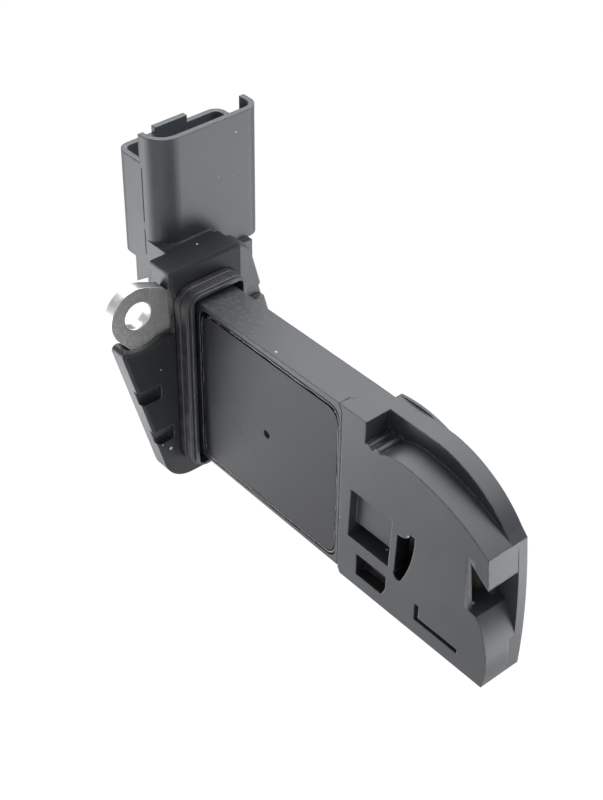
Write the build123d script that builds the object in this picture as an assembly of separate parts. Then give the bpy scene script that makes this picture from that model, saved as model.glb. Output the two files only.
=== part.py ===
from build123d import *
import math
import os

# Mass airflow sensor, in millimetres.
# The origin is the centre of the seating face of the flange. The blade runs along +X into
# the duct, +Z is the way out of the plug socket, and -Y is the side with the circuit cover.

# Blade: a flat root half that gets a little taller towards the seam, by the taper at each edge,
# and a tip that hangs lower
BLADE_HEIGHT = 33.35
BLADE_MID_Z = 0.325
BLADE_TAPER = 0.37
BLADE_THICK = 7.5
BLADE_MID_Y = -0.1
SEAM_X = 38.05
TIP_LENGTH = 33.45
TIP_DROP = 1.35

# Seam between the near cover of the tip and the root half
SEAM_GAP = 0.15
SEAM_DEPTH = 2.2
SEAM_TOOTH = 0.7
SEAM_TOOTH_DROP = 1.3
TIP_SLANT = 0.7

# Flange
FLANGE_HEIGHT = 43.8
FLANGE_BLOCK_THICK = 5.4
FLANGE_BLOCK_WIDTH = 14.2
WING_THICK = 3.5
WING_ANGLE = 15.25
NEAR_WING_FOOT = 8.44
FAR_WING_FOOT = 9.2
NEAR_WING_R = 5.8
FAR_WING_R = 4.0
WING_END_Z = 10.4
WING_END_R = 0.9
FLANGE_EDGE = 0.4

# Grip notches in the sloped edge of each wing: inner side, lower end and height
NOTCH_INNER_Y = (10.0, 7.8)
NOTCH_LOW_Z = (-2.0, -11.9)
NOTCH_HEIGHT = 3.1
NOTCH_DEPTH = 1.25
NOTCH_CORNER_R = 0.6

# Screw holes and their metal lugs
HOLE_CIRCLE = 41.4
HOLE_ANGLE = 129.4
HOLE_BORE = 4.8
LUG_RING_R = 5.15
LUG_THICK = 2.0
LUG_SETBACK = 1.0
LUG_EDGE_R = 0.3
LUG_ROOT_UPPER = 6.2
LUG_ROOT_LOWER = 6.5
LUG_ROOT_LENGTH = 9.5
LUG_ROOT_START = 0.8
LUG_ROOT_NOTCH = 1.75
RELIEF_R = 6.2
RELIEF_CONE = 0.9

# Spigot, with the seal round its neck
SPIGOT_LENGTH = 3.7
SPIGOT_SIDE_GAP = 1.35
SPIGOT_END_GAP = 1.12
SPIGOT_WALL = 0.6
SPIGOT_CORNER_R = 2.25
SPIGOT_HOLLOW_R = 0.9
SPIGOT_POCKET_DEPTH = 3.0
RIM_LENGTH = 0.5
NECK_STEP = 0.3
SEAL_BODY = 0.65
SEAL_END_THIN = 0.45
SEAL_RIB = 0.3
SEAL_RIB_R = 0.25
SEAL_RIB_LENGTHS = (1.45, 1.6)
SEAL_RIB_GAP = 0.25
SEAL_GROOVE = 0.2
SEAL_GROOVE_GAP = 0.15

# Circuit cover, its sealant bead and the circuit cavity
SEALANT_START = 3.15
SEALANT_WIDTH = 0.5
SEALANT_TOP_WIDTH = 1.0
SEALANT_INSET = 0.2
RAIL_TOP = 0.8
RAIL_BOTTOM = 0.45
RAIL_END = 0.4
COVER_THICK = 1.3
COVER_INSET = 0.1
COVER_CORNER_R = 2.4
POCKET_CORNER_R = 2.0
CORNER_PIT = 1.1
CAVITY_MARGIN = 1.3
CAVITY_DEPTH = 4.85
PIP_R = 0.75
PIP_X = 20.2
PIP_Z = -0.3

# Circuit in the cavity
BOARD_THICK = 1.0
BOARD_MARGIN = 0.9
CHIP_SIZE = 7.0
CHIP_THICK = 1.1
CHIP_BACK = 2.1
CHIP_RISE = 1.3
CAPACITOR_LENGTH = 2.0
CAPACITOR_WIDTH = 1.25
CAPACITOR_THICK = 0.9
CAPACITOR_AHEAD = 6.0
CAPACITOR_PITCH = 4.0
CAPACITOR_COUNT = 4
GEL_DEPTH = 2.6
LINK_COUNT = 3
LINK_THICK = 0.2
LINK_PITCH = 1.15
LINK_LENGTH = 0.9

# Tip of the blade: a cover on the near side, a thick web and a cover on the far side
TIP_COVER_THICK = 3.0
POCKET_STEP = 4.92
REAR_COVER_THICK = 1.2
REAR_START = 3.75
REAR_STEP = 0.86
REAR_END_STEP = 0.6
REAR_RIB_LENGTH = 11.0
REAR_RIB_THICK = 0.5
REAR_RIB_BULGE = 0.75
REAR_RIB_DROP = 0.9
REAR_RIB_DEPTH = 1.6

# Crescent pocket behind the top edge of the tip, with two round ridges on its floor
POCKET_START = 5.35
POCKET_DEPTH = 4.55
POCKET_PEAK_DEPTH = 2.85
POCKET_PEAK_X = 7.6
POCKET_FLAT_LENGTH = 3.4
POCKET_FLAT_RISE = 0.45
POCKET_RISE_BULGE = 0.3
RIDGE_R = 0.7
RIDGE_PITCH = 2.0
RIDGE_START = 0.6
RIDGE_STEP = 0.3
RIDGE_COUNT = 2

# Nose of the tip, measured back from its end and down from the top of the blade
NOSE_BACK = 1.8
NOSE_DROP = 9.0
NOSE_BULGE = 1.5
CHIN_BACK = 1.2
CHIN_Z = 2.4
MOUTH_HIGH_BACK = 5.9
MOUTH_LOW_BACK = 4.7
MOUTH_RISE = 0.3
LIP_BACK = 2.9
LIP_THICK = 0.3
HEEL_BACK = 0.6
HEEL_BULGE = 1.45
FAR_SHOULDER_BACK = 17.5
FAR_CORNER_BACK = 1.8
FAR_CORNER_DROP = 9.1
FAR_CORNER_CUT = 1.25
FAR_BULGE = 1.65
FAR_HEEL_BACK = 0.6
FAR_HEEL_BULGE = 0.6

# Openings in the near side of the tip, measured on from the seam
WINDOW_START = 2.3
WINDOW_WIDTH = 9.35
WINDOW_LEAN = 0.4
WINDOW_LOW = -8.1
WINDOW_HEIGHT = 10.0
WINDOW_DEPTH = 1.6
WINDOW_SLOT = 2.1
PORT_START = 4.45
PORT_WIDTH = 6.9
PORT_LOW = -15.1
PORT_HEIGHT = 4.5
PORT_DEPTH = 2.2
PORT_CUT_Y = 0.9
PORT_CUT_Z = 1.8
CLAW_START = 12.95
CLAW_LOW = -7.9
CLAW_HIGH = 1.8
CLAW_DEPTH = 4.4
CLAW_TOP_WIDTH = 4.1
CLAW_FOOT_WIDTH = 1.6
CLAW_FOOT_DROP = 1.1
CLAW_LEAN = 0.3
CLAW_HOOK = 1.7
CLAW_TIP = 1.0
CLAW_BULGE = 0.65
CLAW_FOOT_BULGE = 0.85
GROOVE_START = 17.85
GROOVE_LENGTH = 9.5
GROOVE_LOW = -14.8
GROOVE_RISE = 3.5
GROOVE_WIDTH = 0.95
GROOVE_DEPTH = 1.2

# Air channel inside the tip: the inlet run, the room round the element and the way out
CHANNEL_LENGTH = 16.0
CHANNEL_HEADROOM = 0.3
CHANNEL_DEPTH = 2.3
INLET_LOW = -4.1
INLET_HIGH = 5.7
INLET_SKIN = 0.9
OUTLET_BACK = 0.4
OUTLET_WIDTH = 2.2
OUTLET_LOW = -6.6
OUTLET_HEIGHT = 3.6

# Sensing element on its carrier
CARRIER_HEIGHT = 4.6
CARRIER_THICK = 0.6
CARRIER_REACH = 8.2
ELEMENT_SIZE = 2.6
ELEMENT_THICK = 0.4
ELEMENT_BACK = 3.0
THERMISTOR_LENGTH = 1.6
THERMISTOR_WIDTH = 0.8
THERMISTOR_THICK = 0.6
THERMISTOR_BACK = 6.7

# Plug socket
SOCKET_GAP = 1.1
SOCKET_DROP = 4.9
SHROUD_LENGTH = 11.5
SHROUD_WIDTH = 21.2
SHROUD_HEIGHT = 19.25
SHROUD_WALL = 1.0
SHROUD_BASE = 7.0
NEAR_FRONT_R = 4.4
FAR_FRONT_R = 2.6
REAR_R = 2.2
HOOD_RISE = 5.2
HOOD_NEAR_LENGTH = 5.0
HOOD_FAR_LENGTH = 4.4
TAB_WIDTH = 6.6
TAB_RISE = 1.3

# Neck between socket and flange, and the boss that holds the leads
NECK_INSET = 3.9
NECK_WIDTH = 10.0
NECK_DEPTH = 6.6
NECK_HEEL = 3.4
NECK_RAMP = 4.7
BOSS_WALL = 1.2
BOSS_INSET = 3.0

# Leads, each one a pin, a run across and a run into the blade
LEAD_COUNT = 4
LEAD_PITCH = 3.6
LEAD_THICK = 0.64
LEAD_WIDTH = 1.5
PIN_LENGTH = 8.5
PIN_TAPER = 0.22
LEAD_FIRST_Z = 12.0
LEAD_STEP_Z = 2.5
LEAD_OVERLAP = 1.6

# Places that follow from the sizes above
FACE_NEAR = BLADE_MID_Y - BLADE_THICK / 2
FACE_FAR = BLADE_MID_Y + BLADE_THICK / 2
BLADE_TOP = BLADE_MID_Z + BLADE_HEIGHT / 2
BLADE_LOW = BLADE_MID_Z - BLADE_HEIGHT / 2
ROOT_TOP = BLADE_TOP - BLADE_TAPER
ROOT_LOW = BLADE_LOW + BLADE_TAPER
TIP_LOW = BLADE_LOW - TIP_DROP
BLADE_END = SEAM_X + TIP_LENGTH
TIP_BACK = FACE_NEAR + TIP_COVER_THICK
STEP_Y = FACE_NEAR + POCKET_STEP
REAR_X = SEAM_X + REAR_START
REAR_FACE = FACE_FAR - REAR_COVER_THICK
REAR_SKIN = FACE_FAR + REAR_STEP
POCKET_X = SEAM_X + POCKET_START
POCKET_FLOOR = BLADE_TOP - POCKET_DEPTH
FLANGE_TOP = FLANGE_HEIGHT / 2
HOLE_Y = HOLE_CIRCLE / 2 * math.cos(math.radians(HOLE_ANGLE))
HOLE_Z = HOLE_CIRCLE / 2 * math.sin(math.radians(HOLE_ANGLE))
LUG_FRONT = -LUG_SETBACK
LUG_BACK = LUG_FRONT - LUG_THICK
SPIGOT_HALF_Y = BLADE_THICK / 2 + SPIGOT_SIDE_GAP + SPIGOT_WALL
SPIGOT_HALF_Z = (ROOT_TOP - ROOT_LOW) / 2 + SPIGOT_END_GAP + SPIGOT_WALL
SPIGOT_NECK_END = SPIGOT_LENGTH - RIM_LENGTH
NECK_HALF_Y = SPIGOT_HALF_Y - NECK_STEP
NECK_HALF_Z = SPIGOT_HALF_Z - NECK_STEP
NECK_R = SPIGOT_CORNER_R - NECK_STEP
SEALANT_BOX_X = (SEALANT_START, SEAM_X - RAIL_END)
SEALANT_BOX_Z = (ROOT_LOW + RAIL_BOTTOM, ROOT_TOP - RAIL_TOP)
COVER_X = (SEALANT_BOX_X[0] + SEALANT_WIDTH, SEALANT_BOX_X[1] - SEALANT_WIDTH)
COVER_Z = (SEALANT_BOX_Z[0] + SEALANT_WIDTH, SEALANT_BOX_Z[1] - SEALANT_TOP_WIDTH)
CAVITY_X = (COVER_X[0] + CAVITY_MARGIN, COVER_X[1] - CAVITY_MARGIN)
CAVITY_Z = (COVER_Z[0] + CAVITY_MARGIN, COVER_Z[1] - CAVITY_MARGIN)
CAVITY_BACK = FACE_NEAR + CAVITY_DEPTH
SEAT_Y = FACE_NEAR + COVER_INSET + COVER_THICK
BOARD_X = (CAVITY_X[0] + BOARD_MARGIN, CAVITY_X[1] - BOARD_MARGIN)
BOARD_Z = (CAVITY_Z[0] + BOARD_MARGIN, CAVITY_Z[1] - BOARD_MARGIN)
BOARD_FRONT = CAVITY_BACK - BOARD_THICK
BOARD_MID_X = (BOARD_X[0] + BOARD_X[1]) / 2
BOARD_MID_Z = (BOARD_Z[0] + BOARD_Z[1]) / 2
WINDOW_X = (SEAM_X + WINDOW_START, SEAM_X + WINDOW_START + WINDOW_WIDTH)
CLAW_X = SEAM_X + CLAW_START
CHANNEL_X = (WINDOW_X[0], WINDOW_X[0] + CHANNEL_LENGTH)
CHANNEL_Z = (WINDOW_LOW, WINDOW_LOW + WINDOW_HEIGHT + CHANNEL_HEADROOM)
CHANNEL_BACK = TIP_BACK + CHANNEL_DEPTH
CARRIER_END = CHANNEL_X[0] + CARRIER_REACH
CARRIER_MID_Z = (CHANNEL_Z[0] + CHANNEL_Z[1]) / 2
SHROUD_X = (-FLANGE_BLOCK_THICK - SOCKET_GAP - SHROUD_LENGTH, -FLANGE_BLOCK_THICK - SOCKET_GAP)
SHROUD_MID_X = (SHROUD_X[0] + SHROUD_X[1]) / 2
SHROUD_Y = (FACE_NEAR, FACE_NEAR + SHROUD_WIDTH)
SHROUD_MID_Y = (SHROUD_Y[0] + SHROUD_Y[1]) / 2
SHROUD_LOW = FLANGE_TOP - SOCKET_DROP
SHROUD_HIGH = SHROUD_LOW + SHROUD_HEIGHT
SHROUD_FLOOR = SHROUD_LOW + SHROUD_BASE
HOOD_HIGH = SHROUD_HIGH + HOOD_RISE
LEAD_FAR_Y = SHROUD_MID_Y + (LEAD_COUNT - 1) / 2 * LEAD_PITCH
LEAD_X = (SHROUD_MID_X - LEAD_THICK / 2, SHROUD_MID_X + LEAD_THICK / 2)

# How far a cutting shape reaches past what it cuts, and how close two lengths count as equal
CUT = 1.0
SAME = 0.01


def block(x, y, z):
    """A box between two corners, each given as (low, high) on its axis."""
    size = [high - low for low, high in (x, y, z)]
    middle = [(high + low) / 2 for low, high in (x, y, z)]
    return Pos(*middle) * Box(*size)


def grown(span, amount):
    """A (low, high) span made longer by the same amount at both ends."""
    return (span[0] - amount, span[1] + amount)


def slab_y(outline, y_low, y_high):
    """A flat outline in X and Z, made solid between two places along Y."""
    return Pos(0, y_high, 0) * extrude(Plane.XZ * outline, amount=y_high - y_low)


def slab_x(outline, x_low, x_high):
    """A flat outline in Y and Z, made solid between two places along X."""
    return Pos(x_low, 0, 0) * extrude(Plane.YZ * outline, amount=x_high - x_low)


def slab_z(outline, z_low, z_high):
    """A flat outline in X and Y, made solid between two places along Z."""
    return Pos(0, 0, z_low) * extrude(outline, amount=z_high - z_low)


def polygon(*points):
    """A flat face with straight sides through the points."""
    return make_face(Polyline(*points, close=True))


def rod_x(y, z, radius, x_low, x_high):
    """A round bar along X."""
    return slab_x(Pos(y, z) * Circle(radius), x_low, x_high)


def turned(shape):
    """The same shape turned half way round the axis of the blade."""
    return Rot(180, 0, 0) * shape


def wing_edge(foot, height):
    """How far out the sloped edge of a wing lies at a height above its foot."""
    return foot + height * math.tan(math.radians(WING_ANGLE))


def flange_outline():
    """Front view of the flange: a tall block with a wing on each side of it.

    The near wing rises from the bottom to its screw and the far wing hangs from the top to its screw.
    """
    side = FLANGE_BLOCK_WIDTH / 2
    rise = FLANGE_TOP + WING_END_Z
    far_end, near_end = wing_edge(FAR_WING_FOOT, rise), wing_edge(NEAR_WING_FOOT, rise)
    plate = polygon((-side, FLANGE_TOP), (FAR_WING_FOOT, FLANGE_TOP), (far_end, -WING_END_Z),
                    (side, -WING_END_Z), (side, -FLANGE_TOP), (-NEAR_WING_FOOT, -FLANGE_TOP),
                    (-near_end, WING_END_Z), (-side, WING_END_Z))
    radii = {FAR_WING_FOOT: FAR_WING_R, -NEAR_WING_FOOT: NEAR_WING_R,
             far_end: WING_END_R, -near_end: WING_END_R}
    for corner_y, radius in radii.items():
        plate = fillet([v for v in plate.vertices() if abs(v.X - corner_y) < SAME], radius)
    return plate


def grip_notch(inner_y, low_z):
    """One notch in the front face, open to the sloped edge of the near wing."""
    outer_y = wing_edge(NEAR_WING_FOOT, FLANGE_HEIGHT)
    notch = block((-NOTCH_DEPTH, CUT), (-outer_y, -inner_y), (low_z, low_z + NOTCH_HEIGHT))
    corners = notch.edges().filter_by(Axis.X).sort_by(Axis.Y)[-2:]
    return fillet(corners, NOTCH_CORNER_R)


def lug_outline():
    """Front view of the metal of the upper lug: a ring with a root in the plastic.

    The upper side of the root runs out of the ring along a tangent.
    """
    reach = math.hypot(LUG_ROOT_START, LUG_ROOT_UPPER)
    lean = math.atan2(LUG_ROOT_UPPER, LUG_ROOT_START) + math.acos(LUG_RING_R / reach)
    tangent = (LUG_RING_R * math.cos(lean), LUG_RING_R * math.sin(lean))
    root = polygon(tangent, (LUG_ROOT_START, LUG_ROOT_UPPER), (LUG_ROOT_LENGTH, LUG_ROOT_UPPER),
                   (LUG_ROOT_LENGTH, -LUG_ROOT_LOWER), (LUG_RING_R, -LUG_ROOT_LOWER),
                   (LUG_RING_R - LUG_ROOT_NOTCH, -LUG_RING_R), (0, -LUG_RING_R))
    return Pos(HOLE_Y, HOLE_Z) * Rot(0, 0, HOLE_ANGLE + 180) * (Circle(LUG_RING_R) + root)


def lug():
    """The metal eye that takes the upper screw."""
    metal = slab_x(lug_outline(), LUG_BACK, LUG_FRONT)
    metal -= rod_x(HOLE_Y, HOLE_Z, HOLE_BORE / 2, LUG_BACK - CUT, LUG_FRONT + CUT)
    rings = metal.edges().filter_by(GeomType.CIRCLE)
    mouths = [e for e in rings if abs(e.radius - HOLE_BORE / 2) < SAME]
    return fillet(mouths, min(LUG_EDGE_R, LUG_THICK / 3))


def screw_relief():
    """The space kept clear of plastic round the upper lug, with a tapered front mouth."""
    behind = rod_x(HOLE_Y, HOLE_Z, RELIEF_R, -FLANGE_BLOCK_THICK - CUT, LUG_FRONT)
    mouth = Cone(RELIEF_R, RELIEF_R + RELIEF_CONE, LUG_SETBACK)
    return behind + Pos(LUG_FRONT / 2, HOLE_Y, HOLE_Z) * Rot(0, 90, 0) * mouth


def flange():
    """The flange with its wings and notches, the seal's groove and the space round both lugs."""
    outline = flange_outline()
    plate = slab_x(outline, -WING_THICK, 0)
    front = plate.faces().sort_by(Axis.X)[-1]
    plate = chamfer(front.edges(), FLANGE_EDGE)
    thick_part = outline & Rectangle(FLANGE_BLOCK_WIDTH, FLANGE_HEIGHT)
    plate += slab_x(thick_part, -FLANGE_BLOCK_THICK, -WING_THICK)
    for inner_y, low_z in zip(NOTCH_INNER_Y, NOTCH_LOW_Z):
        scoop = grip_notch(inner_y, low_z)
        plate -= scoop
        plate -= turned(scoop)
    plate -= slab_x(seal_outline(SEAL_BODY + SEAL_RIB + SEAL_GROOVE_GAP), -SEAL_GROOVE, CUT)
    relief = screw_relief()
    return plate - relief - turned(relief)


def rounded(half_y, half_z, radius):
    """A rounded rectangle round the root of the blade."""
    return Pos(BLADE_MID_Y, BLADE_MID_Z) * RectangleRounded(2 * half_y, 2 * half_z, radius)


def spigot():
    """The short collar that the seal sits on, hollow round the root of the blade."""
    collar = slab_x(rounded(NECK_HALF_Y, NECK_HALF_Z, NECK_R), -SEAL_GROOVE, SPIGOT_NECK_END)
    collar += slab_x(rounded(SPIGOT_HALF_Y, SPIGOT_HALF_Z, SPIGOT_CORNER_R), SPIGOT_NECK_END, SPIGOT_LENGTH)
    hollow = rounded(SPIGOT_HALF_Y - SPIGOT_WALL, SPIGOT_HALF_Z - SPIGOT_WALL, SPIGOT_HOLLOW_R)
    return collar - slab_x(hollow, SPIGOT_LENGTH - SPIGOT_POCKET_DEPTH, SPIGOT_LENGTH + CUT)


def seal_outline(out):
    """Outline of the seal at a distance out from the neck, where its ends are thinner."""
    return rounded(NECK_HALF_Y + out, NECK_HALF_Z + out - SEAL_END_THIN, NECK_R + out)


def seal():
    """The rubber seal: a sleeve on the neck of the spigot with two ribs round it."""
    ring = slab_x(seal_outline(SEAL_BODY), -SEAL_GROOVE, SPIGOT_NECK_END)
    rib = seal_outline(SEAL_BODY + SEAL_RIB)
    start = -SEAL_GROOVE
    for length in SEAL_RIB_LENGTHS:
        bar = slab_x(rib, start, start + length)
        ends = bar.faces().filter_by(Axis.X).edges()
        ring += fillet(ends, min(SEAL_RIB_R, SEAL_RIB))
        start += length + SEAL_RIB_GAP
    return ring - slab_x(rounded(NECK_HALF_Y, NECK_HALF_Z, NECK_R), -CUT, SPIGOT_NECK_END + CUT)


def near_outline():
    """Side view of the near layers of the tip, with the inlet mouth in its end."""
    floor_end = (POCKET_X, POCKET_FLOOR)
    floor_turn = (POCKET_X + POCKET_FLAT_LENGTH, POCKET_FLOOR + POCKET_FLAT_RISE)
    floor_peak = (POCKET_X + POCKET_PEAK_X, BLADE_TOP - POCKET_PEAK_DEPTH)
    nose_top = (BLADE_END - NOSE_BACK, BLADE_TOP - NOSE_DROP)
    chin = (BLADE_END - CHIN_BACK, CHIN_Z)
    mouth_high = (BLADE_END - MOUTH_HIGH_BACK, INLET_HIGH + MOUTH_RISE)
    mouth_low = (BLADE_END - MOUTH_LOW_BACK, INLET_LOW)
    lip = (BLADE_END - LIP_BACK, INLET_LOW - LIP_THICK)
    heel = (BLADE_END - HEEL_BACK, TIP_LOW)
    lines = [
        Polyline(floor_end, (POCKET_X, BLADE_TOP), (SEAM_X, BLADE_TOP), (SEAM_X, BLADE_LOW),
                 (SEAM_X + TIP_SLANT, TIP_LOW), heel),
        SagittaArc(heel, lip, -HEEL_BULGE),
        Polyline(lip, mouth_low, mouth_high, chin, nose_top),
        SagittaArc(nose_top, floor_peak, -NOSE_BULGE),
        SagittaArc(floor_peak, floor_turn, -POCKET_RISE_BULGE),
        Line(floor_turn, floor_end),
    ]
    return make_face(lines)


def far_outline():
    """Side view of the far layers of the tip, which stand higher than the near ones."""
    corner = (BLADE_END - FAR_CORNER_BACK, BLADE_TOP - FAR_CORNER_DROP)
    corner_top = (corner[0] - FAR_CORNER_CUT, corner[1] + FAR_CORNER_CUT)
    shoulder = (BLADE_END - FAR_SHOULDER_BACK, BLADE_TOP)
    heel = (BLADE_END - FAR_HEEL_BACK, TIP_LOW)
    lines = [
        Polyline(shoulder, (SEAM_X, BLADE_TOP), (SEAM_X, BLADE_LOW), (SEAM_X + TIP_SLANT, TIP_LOW), heel),
        SagittaArc(heel, corner, -FAR_HEEL_BULGE),
        Line(corner, corner_top),
        SagittaArc(corner_top, shoulder, -FAR_BULGE),
    ]
    return make_face(lines)


def claw_outline():
    """The curved slot beside the window, wider at its top."""
    foot = (CLAW_X, CLAW_LOW)
    left_top = (CLAW_X + CLAW_LEAN, CLAW_HIGH - CLAW_HOOK)
    right_top = (CLAW_X + CLAW_TOP_WIDTH - CLAW_TIP, CLAW_HIGH)
    corner = (CLAW_X + CLAW_TOP_WIDTH, CLAW_HIGH)
    end = (CLAW_X + CLAW_FOOT_WIDTH, CLAW_LOW - CLAW_FOOT_DROP)
    lines = [
        Line(foot, left_top),
        SagittaArc(left_top, right_top, -CLAW_BULGE),
        Line(right_top, corner),
        SagittaArc(corner, end, CLAW_BULGE),
        SagittaArc(end, foot, CLAW_FOOT_BULGE),
    ]
    return make_face(lines)


def port_outline():
    """The small port below the window, with its end cut at a slant."""
    left = SEAM_X + PORT_START
    right, high = left + PORT_WIDTH, PORT_LOW + PORT_HEIGHT
    return polygon((left, PORT_LOW), (right - PORT_CUT_Y, PORT_LOW), (right, PORT_LOW + PORT_CUT_Z),
                   (right, high), (left, high))


def window_outline(height):
    """The opening of the window from its lower edge up to a height, with its sides leaning."""
    left, right = WINDOW_X
    lean = WINDOW_LEAN * height / WINDOW_HEIGHT
    return polygon((left, WINDOW_LOW), (right, WINDOW_LOW), (right + lean, WINDOW_LOW + height),
                   (left + lean, WINDOW_LOW + height))


def seam_tooth():
    """The small corner at the top of the seam where the tip cover laps over the root half."""
    return polygon((SEAM_X - SEAM_TOOTH, BLADE_TOP), (SEAM_X, BLADE_TOP),
                   (SEAM_X, BLADE_TOP - SEAM_TOOTH_DROP))


def pocket_ridges(y_low, y_high):
    """Round ridges across the floor of the crescent pocket, near its closed end."""
    ridges = []
    for i in range(RIDGE_COUNT):
        middle = Pos(POCKET_X + RIDGE_START + i * RIDGE_PITCH, POCKET_FLOOR + i * RIDGE_STEP)
        ridges.append(slab_y(middle * Circle(RIDGE_R), y_low, y_high))
    return ridges


def channel_space():
    """The air channel: the inlet run and the wider space round the sensing element."""
    run_x = (CHANNEL_X[1] - CUT, BLADE_END - MOUTH_LOW_BACK)
    inlet = block(run_x, (TIP_BACK, STEP_Y), (INLET_LOW, INLET_HIGH))
    return inlet + block(CHANNEL_X, (TIP_BACK, CHANNEL_BACK), CHANNEL_Z)


def outlet_space():
    """The slot in the far side that lets the air out."""
    left = CHANNEL_X[1] - OUTLET_BACK
    return block((left, left + OUTLET_WIDTH), (STEP_Y - CUT, REAR_SKIN + CUT),
                 (OUTLET_LOW, OUTLET_LOW + OUTLET_HEIGHT))


def bypass_cover():
    """The near cover of the tip, with the window, port, claw slot and groove."""
    cover = slab_y(near_outline(), FACE_NEAR, TIP_BACK)
    for ridge in pocket_ridges(FACE_NEAR, TIP_BACK):
        cover += ridge
    front = FACE_NEAR - CUT
    seam_y = (front, FACE_NEAR + SEAM_DEPTH)
    cover -= block((SEAM_X - CUT, SEAM_X + SEAM_GAP), seam_y, (TIP_LOW - CUT, BLADE_TOP + CUT))
    cover += Pos(SEAM_GAP, 0, 0) * slab_y(seam_tooth(), FACE_NEAR, FACE_NEAR + SEAM_DEPTH)
    cover -= slab_y(window_outline(WINDOW_HEIGHT), front, FACE_NEAR + WINDOW_DEPTH)
    cover -= slab_y(window_outline(WINDOW_SLOT), front, TIP_BACK + CUT)
    cover -= slab_y(port_outline(), front, FACE_NEAR + PORT_DEPTH)
    cover -= slab_y(claw_outline(), front, TIP_BACK + CUT)
    groove_x = SEAM_X + GROOVE_START
    groove_y = (front, FACE_NEAR + GROOVE_DEPTH)
    cover -= block((groove_x, groove_x + GROOVE_WIDTH), groove_y, (GROOVE_LOW, GROOVE_LOW + GROOVE_RISE))
    cover -= block((groove_x, groove_x + GROOVE_LENGTH), groove_y, (GROOVE_LOW, GROOVE_LOW + GROOVE_WIDTH))
    inlet_x = (CHANNEL_X[1], BLADE_END - MOUTH_LOW_BACK)
    return cover - block(inlet_x, (FACE_NEAR + INLET_SKIN, TIP_BACK + CUT), (INLET_LOW, INLET_HIGH))


def rear_rib():
    """The low rib that stands on the far cover along the start of its top edge."""
    left, right = REAR_X, REAR_X + REAR_RIB_LENGTH
    low = BLADE_TOP - REAR_RIB_DEPTH
    lines = [
        Polyline((right, BLADE_TOP - REAR_RIB_DROP), (right, low), (left, low), (left, BLADE_TOP)),
        SagittaArc((left, BLADE_TOP), (right, BLADE_TOP - REAR_RIB_DROP), REAR_RIB_BULGE),
    ]
    rib = slab_y(make_face(lines), FACE_FAR, REAR_SKIN + REAR_RIB_THICK)
    return rib - block((left - CUT, right + CUT), (FACE_FAR - CUT, REAR_SKIN), (BLADE_TOP, BLADE_TOP + CUT))


def rear_cover():
    """The far cover of the tip, a little proud of the blade and thinner towards the nose."""
    plate = slab_y(far_outline(), REAR_FACE, REAR_SKIN)
    taper = polygon((REAR_X, REAR_FACE), (BLADE_END, REAR_FACE), (BLADE_END, FACE_FAR + REAR_END_STEP),
                    (REAR_X, REAR_SKIN))
    plate &= slab_z(taper, TIP_LOW - CUT, BLADE_TOP + CUT)
    return plate + rear_rib() - outlet_space()


def centred_rectangle(x, z, corner):
    """A rounded rectangle over two (low, high) spans, in X and Z."""
    middle = Pos((x[0] + x[1]) / 2, (z[0] + z[1]) / 2)
    return middle * RectangleRounded(x[1] - x[0], z[1] - z[0], corner)


def carrier_box():
    """The strip that reaches from the circuit cavity into the air channel."""
    half = CARRIER_HEIGHT / 2
    return block((BOARD_X[1] + SEAM_GAP, CARRIER_END), (BOARD_FRONT, BOARD_FRONT + CARRIER_THICK),
                 (CARRIER_MID_Z - half, CARRIER_MID_Z + half))


def blade():
    """The blade: its root half in one block and the web of the tip, with the mouth open to the far cover."""
    side = polygon((0, ROOT_LOW), (SEAM_X, BLADE_LOW), (SEAM_X, BLADE_TOP), (0, ROOT_TOP))
    root = slab_y(side, FACE_NEAR, FACE_FAR)
    seat = centred_rectangle(SEALANT_BOX_X, SEALANT_BOX_Z, POCKET_CORNER_R)
    root -= slab_y(seat, FACE_NEAR - CUT, SEAT_Y)
    root -= block(CAVITY_X, (SEAT_Y, CAVITY_BACK), CAVITY_Z)
    root -= slab_y(seam_tooth(), FACE_NEAR - CUT, FACE_NEAR + SEAM_DEPTH)
    web = slab_y(near_outline(), TIP_BACK, STEP_Y)
    for ridge in pocket_ridges(TIP_BACK, STEP_Y):
        web += ridge
    nose_z = (TIP_LOW - CUT, BLADE_TOP - NOSE_DROP)
    nose_x = (BLADE_END - MOUTH_HIGH_BACK, BLADE_END + CUT)
    beyond = block(nose_x, (STEP_Y, REAR_FACE), nose_z) - slab_y(near_outline(), STEP_Y, REAR_FACE)
    web += slab_y(far_outline(), STEP_Y, REAR_FACE) - beyond
    web += block((SEAM_X, REAR_X), (REAR_FACE, FACE_FAR), (BLADE_LOW, BLADE_TOP))
    web -= channel_space()
    web -= slab_y(claw_outline(), TIP_BACK - CUT, FACE_NEAR + CLAW_DEPTH)
    web -= outlet_space()
    return root + web - carrier_box()


def shroud_outline(inset):
    """Top view of the plug socket, with its four corner radii, drawn in by a wall."""
    x, y = grown(SHROUD_X, -inset), grown(SHROUD_Y, -inset)
    face = polygon((x[0], y[0]), (x[1], y[0]), (x[1], y[1]), (x[0], y[1]))
    radii = {(x[1], y[0]): NEAR_FRONT_R, (x[1], y[1]): FAR_FRONT_R,
             (x[0], y[0]): REAR_R, (x[0], y[1]): REAR_R}
    for (corner_x, corner_y), radius in radii.items():
        corner = [v for v in face.vertices() if abs(v.X - corner_x) < SAME and abs(v.Y - corner_y) < SAME]
        face = fillet(corner, radius - inset)
    return face


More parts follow.
